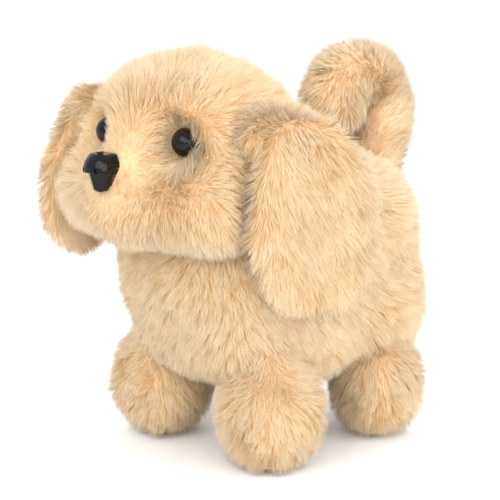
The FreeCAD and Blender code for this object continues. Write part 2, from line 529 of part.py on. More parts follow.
def make_legs():
    for end, hip_y, plate_x, arm_way in (("front", FRONT_HIP_Y, FRONT_PLATE_X, 1),
                                         ("hind", HIND_HIP_Y, HIND_PLATE_X, -1)):
        frame = leg_frame(hip_y, plate_x, arm_way)
        half = FOOT_HALF - 0.5
        sole = rounded_box(TRACK_X - half, TRACK_X + half, hip_y - half, hip_y + half,
                           0, SOLE_THICK, 5.5, 0, 0.8)
        fur = paw(end, hip_y)
        for name, side in SIDES.items():
            write(f"{end}_{name}_leg_frame", mirrored(frame, side))
            write(f"{end}_{name}_sole", mirrored(sole, side))
            write(f"{end}_{name}_paw", mirrored(fur, side))


# ---------------------------------------------------------------- plush forms
def eye_stud(side):
    """A domed eye with its shank, looking forwards and outwards."""
    look = V(0.45, -0.88, 0.12)
    look.normalize()
    place = V(EYE_PLACE.x, EYE_PLACE.y, EYE_PLACE.z)
    dome = Part.makeSphere(EYE_R, place)
    keep = Part.makeCylinder(EYE_R + 1, 20, place - look * 1.5, look)
    shank = Part.makeCylinder(1.6, 5.0, place - look * 5.5, look)
    washer = Part.makeCylinder(4.5, 1.0, place - look * 4.8, look)
    washer = washer.cut(Part.makeCylinder(1.6, 6.0, place - look * 7.0, look))
    recess = Part.makeCylinder(EYE_R + 1.0, 30, place - look * 1.6, look)
    stud = dome.common(keep).fuse(shank)
    return [mirrored(s, side) for s in (stud, washer, recess)]


def nose_stud():
    """A rounded triangular nose with a domed top, two lower facets, a groove between them and nostrils."""
    outline = [(-5.5, 7.6), (5.5, 7.6), (7.8, 2.0), (3.0, -8.2), (-3.0, -8.2), (-7.8, 2.0)]
    corners = [V(x, 5, z) for x, z in outline]
    body = Part.Face(Part.makePolygon(corners + corners[:1])).extrude(V(0, -16, 0))
    body = body.makeFillet(2.6, [e for e in body.Edges if abs(e.tangentAt(e.FirstParameter).y) > 0.9])
    body = body.common(Part.makeSphere(9.6, V(0, 3.4, 0.2)))
    for side in SIDES.values():
        facet = Part.makeBox(30, 20, 30, V(-15, -20, -30))
        facet = turned(turned(facet, V(0, 0, 0), X_AXIS, 14), V(0, 0, 0), Z_AXIS, side * 30)
        facet.translate(V(0, -5.2, 0.4))
        body = body.cut(facet)
        body = body.cut(Part.makeSphere(1.2, V(side * 3.8, -4.6, 1.2)))
    body = body.cut(box(-0.3, 0.3, -12, -3.8, -10, 0.2))
    body = body.fuse(rod_y(2.0, 3, 13, 0, 0))
    body.translate(NOSE_PLACE)
    return body


def make_head():
    form = ellipsoid(HEAD_CENTRE, HEAD_RADII).fuse(ellipsoid(MUZZLE_CENTRE, MUZZLE_RADII))
    gap = V(0.3, 0.3, 0.3)
    cuts = [ellipsoid(SKULL_CENTRE, SKULL_RADII + gap), box(-21.5, 21.5, -54, -6, 80, 128),
            box(-11, -3.5, -30, 25, NOD_AXIS_Z - 6, NOD_AXIS_Z + 6),
            ear_root(EAR_ROOT_R + 0.4), ear_root(EAR_ROOT_R + 0.4).mirror(V(0, 0, 0), X_AXIS)]
    nose = nose_stud()
    washers, eyes = [], {}
    for name, side in SIDES.items():
        stud, washer, recess = eye_stud(side)
        eyes[name] = stud
        washers.append(washer)
        cuts += [stud, washer, recess]
    nose_washer = rod_y(5.0, NOSE_PLACE.y + 11, NOSE_PLACE.y + 12.2, 0, NOSE_PLACE.z)
    nose_washer = nose_washer.cut(rod_y(2.0, NOSE_PLACE.y, NOSE_PLACE.y + 20, 0, NOSE_PLACE.z))
    washers.append(nose_washer)
    cuts += [nose, nose_washer]
    for cut in cuts:
        form = form.cut(cut)
    write("head_plush", max(form.Solids, key=lambda s: s.Volume))
    write("nose", nose)
    write("stud_washers", *washers)
    for name, eye in eyes.items():
        write(f"{name}_eye", eye)


def ear_form(name, side):
    """A hanging ear, with the soft roll at its root that it hinges on."""
    centre, radii = EAR_CENTRE[name], EAR_RADII[name]
    flap = turned(ellipsoid(centre, radii), centre, Z_AXIS, -EAR_TWIST_DEG)
    flap = turned(flap, centre + V(0, 0, radii.z), X_AXIS, EAR_SWEEP_DEG[name])
    return mirrored(flap.fuse(ear_root(EAR_ROOT_R)), side)


def ear_root(radius):
    y, reach = EAR_ROOT.y, EAR_ROOT_HALF_Y + radius - EAR_ROOT_R
    return rod_y(radius, y - reach, y + reach, EAR_ROOT.x, EAR_ROOT.z)


def make_ears():
    for name, side in SIDES.items():
        write(f"{name}_ear", ear_form(name, side))


def make_body():
    """The stuffed torso, with room for the casing, the leg arms, the head, the yoke and the tail rod."""
    form = rounded_box(-BODY_HALF_X, BODY_HALF_X, BODY_FRONT_Y, BODY_REAR_Y,
                       BODY_LOW_Z, BODY_TOP_Z, 34, 22, 8)
    g = 0.4
    swing = 10.5
    clear = V(3.6, 3.6, 3.6)
    cuts = [
        box(-CASE_HALF_X - g, CASE_HALF_X + g, CASE_FRONT_Y - g, CASE_REAR_Y + g,
            CASE_LOW_Z - g, CASE_TOP_Z + g),
        box(-19, 19, DOOR_FRONT_Y - 5, 59.5, BODY_LOW_Z - 1, CASE_LOW_Z + 1),
        box(-36, 36, FRONT_HIP_Y - 11, HIND_HIP_Y + 11, AXLE_Z - 14, AXLE_Z + 14),
        ellipsoid(HEAD_CENTRE, HEAD_RADII + clear), ellipsoid(MUZZLE_CENTRE, MUZZLE_RADII + clear),
        box(-14, -3.5, -20, CRANK_Y + 7, CASE_TOP_Z - 2, NOD_AXIS_Z + 10),
        box(-6, 6, NOD_AXIS_Y - 6, NOD_AXIS_Y + 6, CASE_TOP_Z, NOD_AXIS_Z),
        slab_x([(CASE_REAR_Y, WAG_AXIS_Z - 6), (73, WAG_AXIS_Z - 6), (80, 120), (70, 120),
                (CASE_REAR_Y, 95)], -12.5, 12.5),
        rod_y(60, 50, 100, 0, WAG_AXIS_Z).cut(rod_y(WAG_CLEAR_R, 50, 110, 0, WAG_AXIS_Z)).common(
            box(-24.5, 24.5, 50, 100, WAG_AXIS_Z + 10, 160)),
    ]
    for side in SIDES.values():
        for hip_y in (FRONT_HIP_Y, HIND_HIP_Y):
            cuts.append(mirrored(box(24, 34, hip_y - swing, hip_y + swing, BODY_LOW_Z - 1, AXLE_Z), side))
    for cut in cuts:
        form = form.cut(cut)
    write("body_plush", max(form.Solids, key=lambda s: s.Volume))


def main():
    os.makedirs("parts", exist_ok=True)
    for make in (make_gears, make_crankshaft, make_casing, make_fasteners, make_battery_bay,
                 make_battery_door, make_switch, make_motor, make_speaker, make_circuit_board,
                 make_nod_yoke, make_skull, make_tail, make_legs, make_head, make_ears, make_body):
        make()
        print(make.__name__, "done", flush=True)


main()
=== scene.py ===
"""The furry skin of the walking plush puppy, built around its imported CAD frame.

Every furry part is a smooth skin meshed from a distance field, with strands of pile standing on it.
Helper functions take millimetres in the row frame, and the finished meshes are in metres.
"""

import json
import math
import bpy
import numpy as np
import openvdb
from mathutils import Euler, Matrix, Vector


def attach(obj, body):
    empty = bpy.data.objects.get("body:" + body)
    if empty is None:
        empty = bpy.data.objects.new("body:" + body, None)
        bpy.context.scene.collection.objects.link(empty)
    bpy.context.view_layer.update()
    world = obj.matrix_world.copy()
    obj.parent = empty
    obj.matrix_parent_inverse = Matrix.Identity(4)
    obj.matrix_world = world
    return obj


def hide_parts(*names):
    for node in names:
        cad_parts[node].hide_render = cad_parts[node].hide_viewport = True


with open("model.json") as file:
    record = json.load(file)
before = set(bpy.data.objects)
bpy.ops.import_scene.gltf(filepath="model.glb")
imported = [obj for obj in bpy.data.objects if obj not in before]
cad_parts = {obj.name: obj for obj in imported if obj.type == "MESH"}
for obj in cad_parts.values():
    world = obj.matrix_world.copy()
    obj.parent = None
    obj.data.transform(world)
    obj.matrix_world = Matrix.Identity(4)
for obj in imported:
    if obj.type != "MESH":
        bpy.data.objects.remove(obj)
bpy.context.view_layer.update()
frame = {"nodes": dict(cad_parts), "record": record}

MM = 0.001
UP = np.array([0.0, 0.0, 1.0])

# Camera and light
CAMERA_AZIMUTH, CAMERA_ELEVATION, CAMERA_DISTANCE = 45.0, 12.0, 740.0
CAMERA_TARGET, CAMERA_LENS = (0.0, 9.5, 90.0), 116.6
AIM_LEFT, AIM_DOWN = 8.7, 3.65

# Outer shapes of the pile, in millimetres
HEAD_C, HEAD_R = (0, -37.5, 138), (55, 47.5, 45.5)
MUZZLE_C, MUZZLE_R = (0, -64, 121), (44, 29.5, 25)
BRIDGE_C, BRIDGE_R = (0, -64, 136), (22, 26, 18)
CHEEK_C, CHEEK_R = (35, -57, 119), (21, 24, 22)
TEMPLE_C, TEMPLE_R = (34, -54, 144), (9, 11, 14)
CHEST_C, CHEST_R = (0, -33, 90), (46, 31, 38)
BODY_C, BODY_R, BODY_N = (0, 13.5, 82), (51, 68, 50), 3.4
EAR_C, EAR_R = {1: (64, -38.5, 116), -1: (61, -37, 123)}, {1: (13, 35, 46), -1: (13, 32, 41)}
EAR_SWEEP, EAR_TWIST = {1: 12.0, -1: -14.0}, 14.0
EAR_ROOT_C, EAR_ROOT_R = (50, -36.5, 150), (17, 24, 15)
LEG_X, FRONT_Y, HIND_Y, LEG_Z = 35.3, -25.0, 44.0, 25.0
FRONT_R, HIND_R = (26.0, 25.6, 27), (23.8, 23.8, 27)
TAIL_Y, TAIL_Z, TAIL_CURL, TAIL_TUBE = 67.5, 145.0, 17.5, 19.0
EYE = np.array((24.3, -62.8, 146.0))
NOSE = np.array((0.0, -88.8, 134.0))
HAUNCH_C, HAUNCH_R = (36, 46, 58), (17, 27, 30)
BELLY_OPENING = (41, 22, -20, 62)    # the opening in the torso's skin: its top, half width, front and rear

# Skin and pile, in millimetres
INSET = 6.8    # how far the skin lies under the outer shape
EAR_HIDDEN, DEEP_HIDDEN, LEG_HIDDEN = 16, 18, 12    # pile rooted deeper than this in a neighbour is left out
LEG_BOTTOM, LEG_TOP = 1.0, 60    # where the skin of a leg ends
VOXEL = 1.2
STRANDS_PER_MM2 = 3.4
STRAND_WIDTH = 0.27
PIECE_STRANDS = 65000
FLOOR_GAP = 0.15    # the lowest that a tip of pile reaches
FLOOR_DROP = 0.1    # the floor is this far under the soles, so that no two faces coincide
CELL_TURN = np.array(Euler((0.6, 0.5, 0.4)).to_matrix())    # turns the tufts off the X, Y and Z planes


# ---------------------------------------------------------------- distance fields
def ellipsoid(p, centre, radii):
    q = (p - np.asarray(centre, float)) / np.asarray(radii, float)
    k0 = np.sqrt((q * q).sum(-1)) + 1e-9
    k1 = np.sqrt(((q / np.asarray(radii, float)) ** 2).sum(-1)) + 1e-9
    return k0 * (k0 - 1.0) / k1


def superellipsoid(p, centre, radii, power):
    radii = np.asarray(radii, float)
    q = np.abs(p - np.asarray(centre, float)) / radii + 1e-6
    f = (q ** power).sum(-1) ** (1.0 / power)
    slope = (f[..., None] ** (1.0 - power)) * q ** (power - 1.0) / radii
    return (f - 1.0) / (np.sqrt((slope ** 2).sum(-1)) + 1e-6)


def capsule(p, a, b, radius_a, radius_b):
    a, b = np.asarray(a, float), np.asarray(b, float)
    t = np.clip(((p - a) @ (b - a)) / ((b - a) @ (b - a)), 0, 1)
    gap = p - (a + t[..., None] * (b - a))
    return np.sqrt((gap ** 2).sum(-1)) - (radius_a + t * (radius_b - radius_a))


def join(d1, d2, k):
    """A smooth union of two distance fields."""
    h = np.clip(0.5 + 0.5 * (d2 - d1) / k, 0, 1)
    return d2 * (1 - h) + d1 * h - k * h * (1 - h)


def carve(d1, d2, k):
    """d1 with d2 smoothly taken away."""
    return -join(-d1, d2, k)


def turned(p, centre, axis, degrees):
    """Points seen from a form that is turned about an axis ("x" or "z") through centre."""
    c, s = math.cos(math.radians(degrees)), math.sin(math.radians(degrees))
    q = p - np.asarray(centre, float)
    x, y, z = q[..., 0], q[..., 1], q[..., 2]
    if axis == "x":
        q = np.stack([x, y * c + z * s, z * c - y * s], -1)
    else:
        q = np.stack([x * c + y * s, y * c - x * s, z], -1)
    return q + np.asarray(centre, float)


def waves(p, scale, seed, count=14):
    """Smooth noise in about -1 to 1, with lumps about scale millimetres wide."""
    rng = np.random.default_rng(seed)
    ways = rng.normal(size=(count, 3))
    ways /= np.linalg.norm(ways, axis=1)[:, None]
    total = np.zeros(p.shape[:-1])
    for way in ways:
        total += np.sin(p @ way * (2 * math.pi / scale) * rng.uniform(0.7, 1.4) + rng.uniform(0, 6.28))
    return total / math.sqrt(count)


# ---------------------------------------------------------------- the puppy's forms
def two_sided(p):
    """Points folded over to the puppy's left side."""
    return np.stack([np.abs(p[..., 0]), p[..., 1], p[..., 2]], -1)


def head_field(p):
    side = two_sided(p)
    d = ellipsoid(p, HEAD_C, HEAD_R)
    d = join(d, ellipsoid(p, MUZZLE_C, MUZZLE_R), 10)
    d = join(d, ellipsoid(p, BRIDGE_C, BRIDGE_R), 12)
    d = join(d, ellipsoid(side, CHEEK_C, CHEEK_R), 12)
    d = join(d, ellipsoid(side, TEMPLE_C, TEMPLE_R), 6)
    d = carve(d, ellipsoid(side, EYE + np.array((-2, -12, 0)), (6, 11, 6)), 8)
    return d + 0.7 * waves(p, 30, 3)


def body_field(p):
    side = two_sided(p)
    q = p.copy()
    q[..., 2] = p[..., 2] + 6 * np.clip((70 - p[..., 2]) / 40, 0, 1)
    d = superellipsoid(q, BODY_C, BODY_R, BODY_N)
    d = join(d, ellipsoid(side, HAUNCH_C, HAUNCH_R), 10)
    d = join(d, ellipsoid(p, CHEST_C, CHEST_R), 12)
    d = carve(d, capsule(side, (62, 14, 30), (57, 26, 70), 2.0, 1.0), 8)
    return d + 1.2 * waves(p, 36, 5)


def ear_field(p, side):
    """A hanging ear that widens toward its lower end; side is 1 for left and -1 for right."""
    q = p * (side, 1.0, 1.0)
    centre, radii = EAR_C[side], EAR_R[side]
    flap = turned(q, (centre[0], centre[1], centre[2] + radii[2]), "x", EAR_SWEEP[side])
    flap = turned(flap, centre, "z", -EAR_TWIST)
    narrow = 1 + 0.25 * np.clip((flap[..., 2] - centre[2]) / radii[2], 0, 1)
    flap[..., 1] = centre[1] + (flap[..., 1] - centre[1]) * narrow
    d = superellipsoid(flap, centre, radii, 2.2)
    d = join(d, ellipsoid(q, EAR_ROOT_C, EAR_ROOT_R), 12)
    return d + 0.8 * waves(p, 30, 7)


def leg_field(p, hip_y, radii):
    d = superellipsoid(p, (LEG_X, hip_y, LEG_Z), radii, 2.3)
    d = join(d, capsule(p, (LEG_X, hip_y, 28), (LEG_X - 5, hip_y, 58), radii[0] - 4, radii[0] - 9), 8)
    for offset in (-7.5, 1.0):
        toe = (LEG_X + offset, hip_y - radii[1] - 1, 4)
        d = carve(d, capsule(p, toe, (toe[0], toe[1] + 3, 20), 0.7, 0.4), 3.5)
    return d + 0.6 * waves(p, 26, 9)


def tail_points():
    """Points down the middle of the tail, from its root to its tip."""
    turns = np.radians(np.linspace(-15, 160, 15))
    curl = [(0.0, TAIL_Y + TAIL_CURL * math.cos(t), TAIL_Z + TAIL_CURL * math.sin(t)) for t in turns]
    start = curl[0]
    root = (0.0, start[1] - 26 * math.sin(math.radians(15)), start[2] - 26 * math.cos(math.radians(15)))
    return np.array([root] + curl)


def tail_field(p):
    path = tail_points()
    d = None
    for a, b in zip(path[:-1], path[1:]):
        part = capsule(p, a, b, TAIL_TUBE, TAIL_TUBE)
        d = part if d is None else np.minimum(d, part)
    return d + 0.8 * waves(p, 28, 11)


# ---------------------------------------------------------------- meshing
def skin_mesh(field, low, high):
    """Vertices and faces of the surface that lies INSET under the field's zero."""
    low, high = np.asarray(low, float), np.asarray(high, float)
    counts = np.ceil((high - low) / VOXEL).astype(int) + 1
    axes = [low[i] + np.arange(counts[i]) * VOXEL for i in range(3)]
    values = np.empty(tuple(counts), np.float32)
    for i, x in enumerate(axes[0]):
        yy, zz = np.meshgrid(axes[1], axes[2], indexing="ij")
        values[i] = field(np.stack([np.full_like(yy, x), yy, zz], -1)) + INSET
    grid = openvdb.FloatGrid(background=30.0)
    grid.copyFromArray(np.clip(values, -30, 30).astype(np.float32))
    points, quads = grid.convertToQuads(isovalue=0.0)
    return points.astype(float) * VOXEL + low, quads


def field_normals(field, points):
    """Unit normals of a field at points, by central differences."""
    out = np.empty_like(points)
    for i in range(3):
        step = np.zeros(3)
        step[i] = 0.8
        out[:, i] = field(points + step) - field(points - step)
    return out / (np.linalg.norm(out, axis=1)[:, None] + 1e-9)


def make_mesh(name, points, faces):
    mesh = bpy.data.meshes.new(name)
    faces = np.asarray(faces)
    mesh.vertices.add(len(points))
    mesh.vertices.foreach_set("co", (points * MM).astype(np.float32).ravel())
    size = faces.shape[1]
    mesh.loops.add(len(faces) * size)
    mesh.loops.foreach_set("vertex_index", faces.astype(np.int32).ravel())
    mesh.polygons.add(len(faces))
    mesh.polygons.foreach_set("loop_start", np.arange(0, len(faces) * size, size, dtype=np.int32))
    mesh.polygons.foreach_set("use_smooth", np.ones(len(faces), bool))
    mesh.update(calc_edges=True)
    mesh.validate()
    thing = bpy.data.objects.new(name, mesh)
    bpy.context.scene.collection.objects.link(thing)
    return thing


# ---------------------------------------------------------------- pile
def scatter(points, quads, count, rng):
    """Random spots spread evenly over a quad mesh."""
    a, b, c, d = (points[quads[:, i]] for i in range(4))
    area = 0.5 * np.linalg.norm(np.cross(c - a, d - b), axis=1)
    pick = rng.choice(len(quads), size=count, p=area / area.sum())
    u, v = rng.random((count, 1)), rng.random((count, 1))
    return (a[pick] * (1 - u) + b[pick] * u) * (1 - v) + (d[pick] * (1 - u) + c[pick] * u) * v


def unit(v):
    return v / (np.linalg.norm(v, axis=-1, keepdims=True) + 1e-9)


def clump_ids(roots, size, seed):
    """The number of the tuft that each root belongs to."""
    warp = np.stack([waves(roots, size * 3, seed + i) for i in range(3)], -1)
    cells = np.floor((roots + warp * size * 0.6) @ CELL_TURN / size).astype(np.int64)
    keys = cells[:, 0] * 73856093 ^ cells[:, 1] * 19349663 ^ cells[:, 2] * 83492791
    return np.unique(keys, return_inverse=True)[1].ravel()


def grow(roots, normals, comb, length, rng, seed, lean=0.4, clump=0.35, clump_mm=4.5):
    """The root and tip of each strand (count, 2, 3), and its tone: random, with painted shade toward the
    edge of its tuft.
    """
    count = len(roots)
    along = unit(comb - normals * (comb * normals).sum(-1, keepdims=True) + 1e-6)
    cross = np.cross(normals, along)
    swirl = waves(roots, 24, seed)[:, None] * 0.35 + rng.normal(0, 0.3, (count, 1))
    along = unit(along + cross * swirl)
    tilt = lean * (1 + 0.3 * waves(roots, 16, seed + 1)[:, None]) + rng.normal(0, 0.13, (count, 1))
    first = unit(normals + along * tilt)
    last = unit(normals * 0.8 + along * (tilt + 0.6) - UP * 0.1 + rng.normal(0, 0.14, (count, 3)))
    size = (length * rng.uniform(0.74, 1.12, count) * (1 + 0.08 * waves(roots, 12, seed + 2)))[:, None]
    strand = np.empty((count, 2, 3))
    strand[:, 0] = roots - normals * 0.6
    strand[:, 1] = strand[:, 0] + unit(first + last) * size
    group = clump_ids(roots, clump_mm, seed + 3)
    total = np.bincount(group).astype(float)
    middle = np.stack([np.bincount(group, strand[:, 1, k]) / total for k in range(3)], -1)
    strand[:, 1] += (middle[group] - strand[:, 1]) * clump * rng.uniform(0.4, 1.0, (count, 1))
    strand[:, :, 2] = np.maximum(strand[:, :, 2], FLOOR_GAP)
    tuft_edge_shade = np.linalg.norm(middle[group] - strand[:, 1], axis=1) / clump_mm
    tuft_tone = rng.random(len(total))[group]
    # painted shade: strands darken toward the edge of their tuft, where the gaps between tufts are shaded;
    # the rest of the tone is random
    tone = 0.85 - 0.55 * tuft_edge_shade + 0.25 * (tuft_tone - 0.5) + 0.3 * (rng.random(count) - 0.5)
    tone = np.clip(tone - 0.12 * waves(roots, 24, seed + 6), 0, 1)
    return strand, tone


def strand_mesh(name, strand, normals, tone, rng):
    """Thin spikes with three sides and no base, so that a strand takes the light from all round."""
    count = len(strand)
    way = unit(strand[:, 1] - strand[:, 0])
    across = unit(np.cross(way, unit(rng.normal(size=(count, 3)))))
    third = np.cross(way, across)
    half = STRAND_WIDTH * 0.58 * rng.uniform(0.75, 1.25, (count, 1))
    verts = np.empty((count, 4, 3))
    for i, turn in enumerate(np.radians((0, 120, 240))):
        verts[:, i] = strand[:, 0] + (across * math.cos(turn) + third * math.sin(turn)) * half
    verts[:, 3] = strand[:, 1]
    base = (np.arange(count) * 4)[:, None]
    loops = np.concatenate([base + np.array(face) for face in ((0, 1, 3), (1, 2, 3), (2, 0, 3))], 1)
    mesh = bpy.data.meshes.new(name)
    mesh.vertices.add(count * 4)
    mesh.vertices.foreach_set("co", (verts * MM).astype(np.float32).ravel())
    mesh.loops.add(loops.size)
    mesh.loops.foreach_set("vertex_index", loops.astype(np.int32).ravel())
    mesh.polygons.add(count * 3)
    mesh.polygons.foreach_set("loop_start", np.arange(0, count * 9, 3, dtype=np.int32))
    mesh.polygons.foreach_set("use_smooth", np.ones(count * 3, bool))
    layer = mesh.uv_layers.new(name="OFBake")
    uv = np.empty((count, 4, 2))
    # u is each strand's tone, which holds painted shade at the edges of its tuft
    uv[:, :, 0] = 0.02 + 0.96 * tone[:, None]
    uv[:, :, 1] = np.array([0.02, 0.02, 0.02, 0.98])
    layer.data.foreach_set("uv", uv.reshape(-1, 2)[loops.ravel()].astype(np.float32).ravel())
    mesh.update(calc_edges=True)
    soft = unit(normals + unit(verts[:, 0] - strand[:, 0]) * 0.12)
    mesh.normals_split_custom_set_from_vertices(np.repeat(soft, 4, axis=0).astype(np.float32))
    thing = bpy.data.objects.new(name, mesh)
    bpy.context.scene.collection.objects.link(thing)
    return thing


# ---------------------------------------------------------------- materials
def new_material(name, roughness, **values):
    """A material with a Principled shader; returns it with its node tree and shader."""
    made = bpy.data.materials.new(name)
    made.use_nodes = True
    tree = made.node_tree
    shader = tree.nodes["Principled BSDF"]
    shader.inputs["Roughness"].default_value = roughness
    for key, value in values.items():
        shader.inputs[key.replace("_", " ")].default_value = value
    return made, tree, shader


def ramp(tree, source, stops):
    node = tree.nodes.new("ShaderNodeValToRGB")
    while len(node.color_ramp.elements) < len(stops):
        node.color_ramp.elements.new(0.5)
    for element, (place, colour) in zip(node.color_ramp.elements, stops):
        element.position = place
        element.color = (*colour, 1.0)
    tree.links.new(source, node.inputs["Fac"])
    return node.outputs["Color"]


def mix(tree, kind, factor, a, b):
    node = tree.nodes.new("ShaderNodeMix")
    node.data_type = "RGBA"
    node.blend_type = kind
    for socket, value in ((node.inputs[0], factor), (node.inputs[6], a), (node.inputs[7], b)):
        if isinstance(value, bpy.types.NodeSocket):
            tree.links.new(value, socket)
        elif isinstance(value, tuple):
            socket.default_value = (*value, 1.0)
        else:
            socket.default_value = value
    return node.outputs[2]


def noise(tree, scale):
    """Procedural noise on object coordinates, which are metres in the row frame."""
    place = tree.nodes.new("ShaderNodeTexCoord")
    node = tree.nodes.new("ShaderNodeTexNoise")
    node.inputs["Scale"].default_value = scale
    node.inputs["Detail"].default_value = 3.0
    tree.links.new(place.outputs["Object"], node.inputs["Vector"])
    return node.outputs["Fac"]


def mottled(name, dark, light, scale, roughness, **values):
    """A plain finish whose colour drifts between two close tones."""
    made, tree, shader = new_material(name, roughness, **values)
    colour = ramp(tree, noise(tree, scale), ((0.3, dark), (0.7, light)))
    tree.links.new(colour, shader.inputs["Base Color"])
    return made


def pile_material(name, root, middle, tip):
    """Pile with painted shade: darker and warmer at its root, where the depth of the pile is shaded. UV u is
    a strand's tone, which holds painted shade at the edges of its tuft; v runs root to tip.
    """
    made, tree, shader = new_material(name, 0.75, Sheen_Weight=0.25, Sheen_Roughness=0.5,
                                      Specular_IOR_Level=0.25)
    uv = tree.nodes.new("ShaderNodeUVMap")
    uv.uv_map = "OFBake"
    split = tree.nodes.new("ShaderNodeSeparateXYZ")
    tree.links.new(uv.outputs["UV"], split.inputs["Vector"])
    # painted shade: the colour darkens and warms from tip to root, for the shaded depth of the pile
    length = ramp(tree, split.outputs["Y"], ((0.0, root), (0.45, middle), (1.0, tip)))
    tone = ramp(tree, split.outputs["X"], ((0.0, (0.84, 0.70, 0.52)), (0.5, (0.97, 0.91, 0.82)),
                                           (1.0, (1.0, 1.0, 1.0))))
    tree.links.new(mix(tree, "MULTIPLY", 1.0, length, tone), shader.inputs["Base Color"])
    return made


# the root and middle colours are painted shade of the pile's depth; the tip colour is the pile's own golden
# cream
PILE = pile_material("golden_pile", (0.86, 0.52, 0.26), (0.95, 0.70, 0.43), (0.98, 0.83, 0.62))
# painted shade: the skin under the pile is a darker orange, so that gaps in the pile look like shaded depth
DEPTH_SHADE_BACKING = mottled("pile_backing_painted_shade", (0.72, 0.46, 0.24), (0.80, 0.54, 0.30), 160, 0.9)


# ---------------------------------------------------------------- plush parts
def dress(body, thing, material):
    """Gives a plush piece its material and sets it on its body."""
    thing.data.materials.clear()
    thing.data.materials.append(material)
    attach(thing, body)
    return thing


def plush(name, body, field, low, high, comb, length, replaced, seed, hidden, keep=None, **style):
    """One furry part: the skin under the pile and the pile itself, riding on a body.

    hidden says which roots lie too deep in a neighbour to be seen, and keep which faces the skin has.
    """
    rng = np.random.default_rng(seed)
    points, quads = skin_mesh(field, low, high)
    if keep is not None:
        centres = points[quads].mean(1)
        quads = quads[keep(centres)]
    a, b, c, d = (points[quads[:, i]] for i in range(4))
    area = 0.5 * np.linalg.norm(np.cross(c - a, d - b), axis=1).sum()
    roots = scatter(points, quads, int(area * STRANDS_PER_MM2), rng)
    roots = roots[~hidden(roots)]
    normals = field_normals(field, roots)
    strand, tone = grow(roots, normals, comb(roots), length(roots), rng, seed, **style)
    skin = make_mesh(name + "_backing", points, quads)
    # the skin takes the darker colour of painted shade
    dress(body, skin, DEPTH_SHADE_BACKING)
    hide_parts(replaced)
    order = np.argsort(roots[:, 1], kind="stable")
    chunks = np.array_split(order, max(1, math.ceil(len(order) / PIECE_STRANDS)))
    for i, part in enumerate(chunks):
        pile = strand_mesh(f"{name}_pile_{i + 1}", strand[part], normals[part], tone[part], rng)
        dress(body, pile, PILE)
    print(name, "strands", len(roots), flush=True)


def flipped(field):
    """The same field on the puppy's right side."""
    return lambda p: field(p * np.array((-1.0, 1.0, 1.0)))


def head_comb(p):
    away = unit(p - (NOSE + np.array((0, 6, -2))))
    down = np.clip((140 - p[:, 2:3]) / 40, 0, 1) * -UP * 0.9
    side = np.clip(np.abs(p[:, 0:1]) / 50, 0, 1) * -UP * 0.6
    return unit(away + down + side)


def head_length(p):
    eye = np.linalg.norm(two_sided(p) - EYE - np.array((-4.5, -2, 0)), axis=1)
    nose = np.linalg.norm(p - NOSE, axis=1)
    short_eye = np.clip((eye - 5) / 7, 0.35, 1)
    short_nose = np.clip((nose - 6) / 22, 0.35, 1)
    return 8.5 * np.minimum(short_eye, short_nose)


def down_comb(p):
    return np.broadcast_to(-UP, p.shape)


def body_comb(p):
    back = np.array((0.0, 0.55, 0.0))
    return unit(back + -UP * 0.9 + np.zeros_like(p))


def tail_comb(p):
    path = tail_points()
    near = np.linalg.norm(p[:, None] - path[None], axis=2).argmin(1)
    way = np.gradient(path, axis=0)
    return unit(way)[near]


def even(value):
    return lambda p: np.full(len(p), float(value))


def leg_length(p):
    """Longer toward the floor, where the pile hides the sole."""
    return 8.0 + 3.0 * np.clip((14 - p[:, 2]) / 8, 0, 1)


def inside(field, depth):
    """True where a point lies deeper than depth under a field's zero."""
    return lambda p: field(p) < -depth


def torso_skin(centres):
    """The faces of the torso's skin that stay: all but the opening under the belly for the battery lid."""
    above, half_width, front, rear = BELLY_OPENING
    x, y, z = centres[:, 0], centres[:, 1], centres[:, 2]
    return (z > above) | (np.abs(x) > half_width) | (y < front) | (y > rear)


def leg_skin(centres):
    return (centres[:, 2] > LEG_BOTTOM) & (centres[:, 2] < LEG_TOP)


def make_head():
    plush("head", "head", head_field, (-70, -110, 80), (70, 25, 200), head_comb, head_length, "head_plush",
          21, inside(body_field, DEEP_HIDDEN))


def make_torso():
    plush("torso", "chassis", body_field, (-65, -70, 24), (65, 100, 150), body_comb, even(9.2), "body_plush",
          22, inside(head_field, DEEP_HIDDEN), keep=torso_skin, clump=0.42, clump_mm=6.0)


def make_ear(side, name):
    def field(p):
        return ear_field(p, side)
    inner, outer = sorted((side * 25.0, side * 90.0))
    plush(f"{name}_ear", f"{name}_ear", field, (inner, -90, 55), (outer, 15, 180), down_comb, even(9.0),
          f"{name}_ear", 30 + side, inside(head_field, EAR_HIDDEN), lean=0.5, clump=0.28)


def make_leg(side, name, end, hip_y, radii):
    def left_field(p):
        return leg_field(p, hip_y, radii)
    field = left_field if side > 0 else flipped(left_field)
    inner, outer = sorted((side * -2.0, side * 72.0))
    plush(f"{end}_{name}_leg_fur", f"{end}_{name}_leg", field, (inner, hip_y - 38, -6),
          (outer, hip_y + 38, 76), down_comb, leg_length, f"{end}_{name}_paw", 40 + side + int(hip_y),
          inside(body_field, LEG_HIDDEN), keep=leg_skin, clump=0.45, clump_mm=6.0)


def make_tail():
    plush("tail", "tail", tail_field, (-30, 20, 95), (30, 110, 195), tail_comb, even(9.0), "tail_plush", 51,
          inside(body_field, DEEP_HIDDEN), lean=0.5)


make_head()
make_torso()
for side, name in ((1, "left"), (-1, "right")):
    make_ear(side, name)
    make_leg(side, name, "front", FRONT_Y, FRONT_R)
    make_leg(side, name, "hind", HIND_Y, HIND_R)
make_tail()


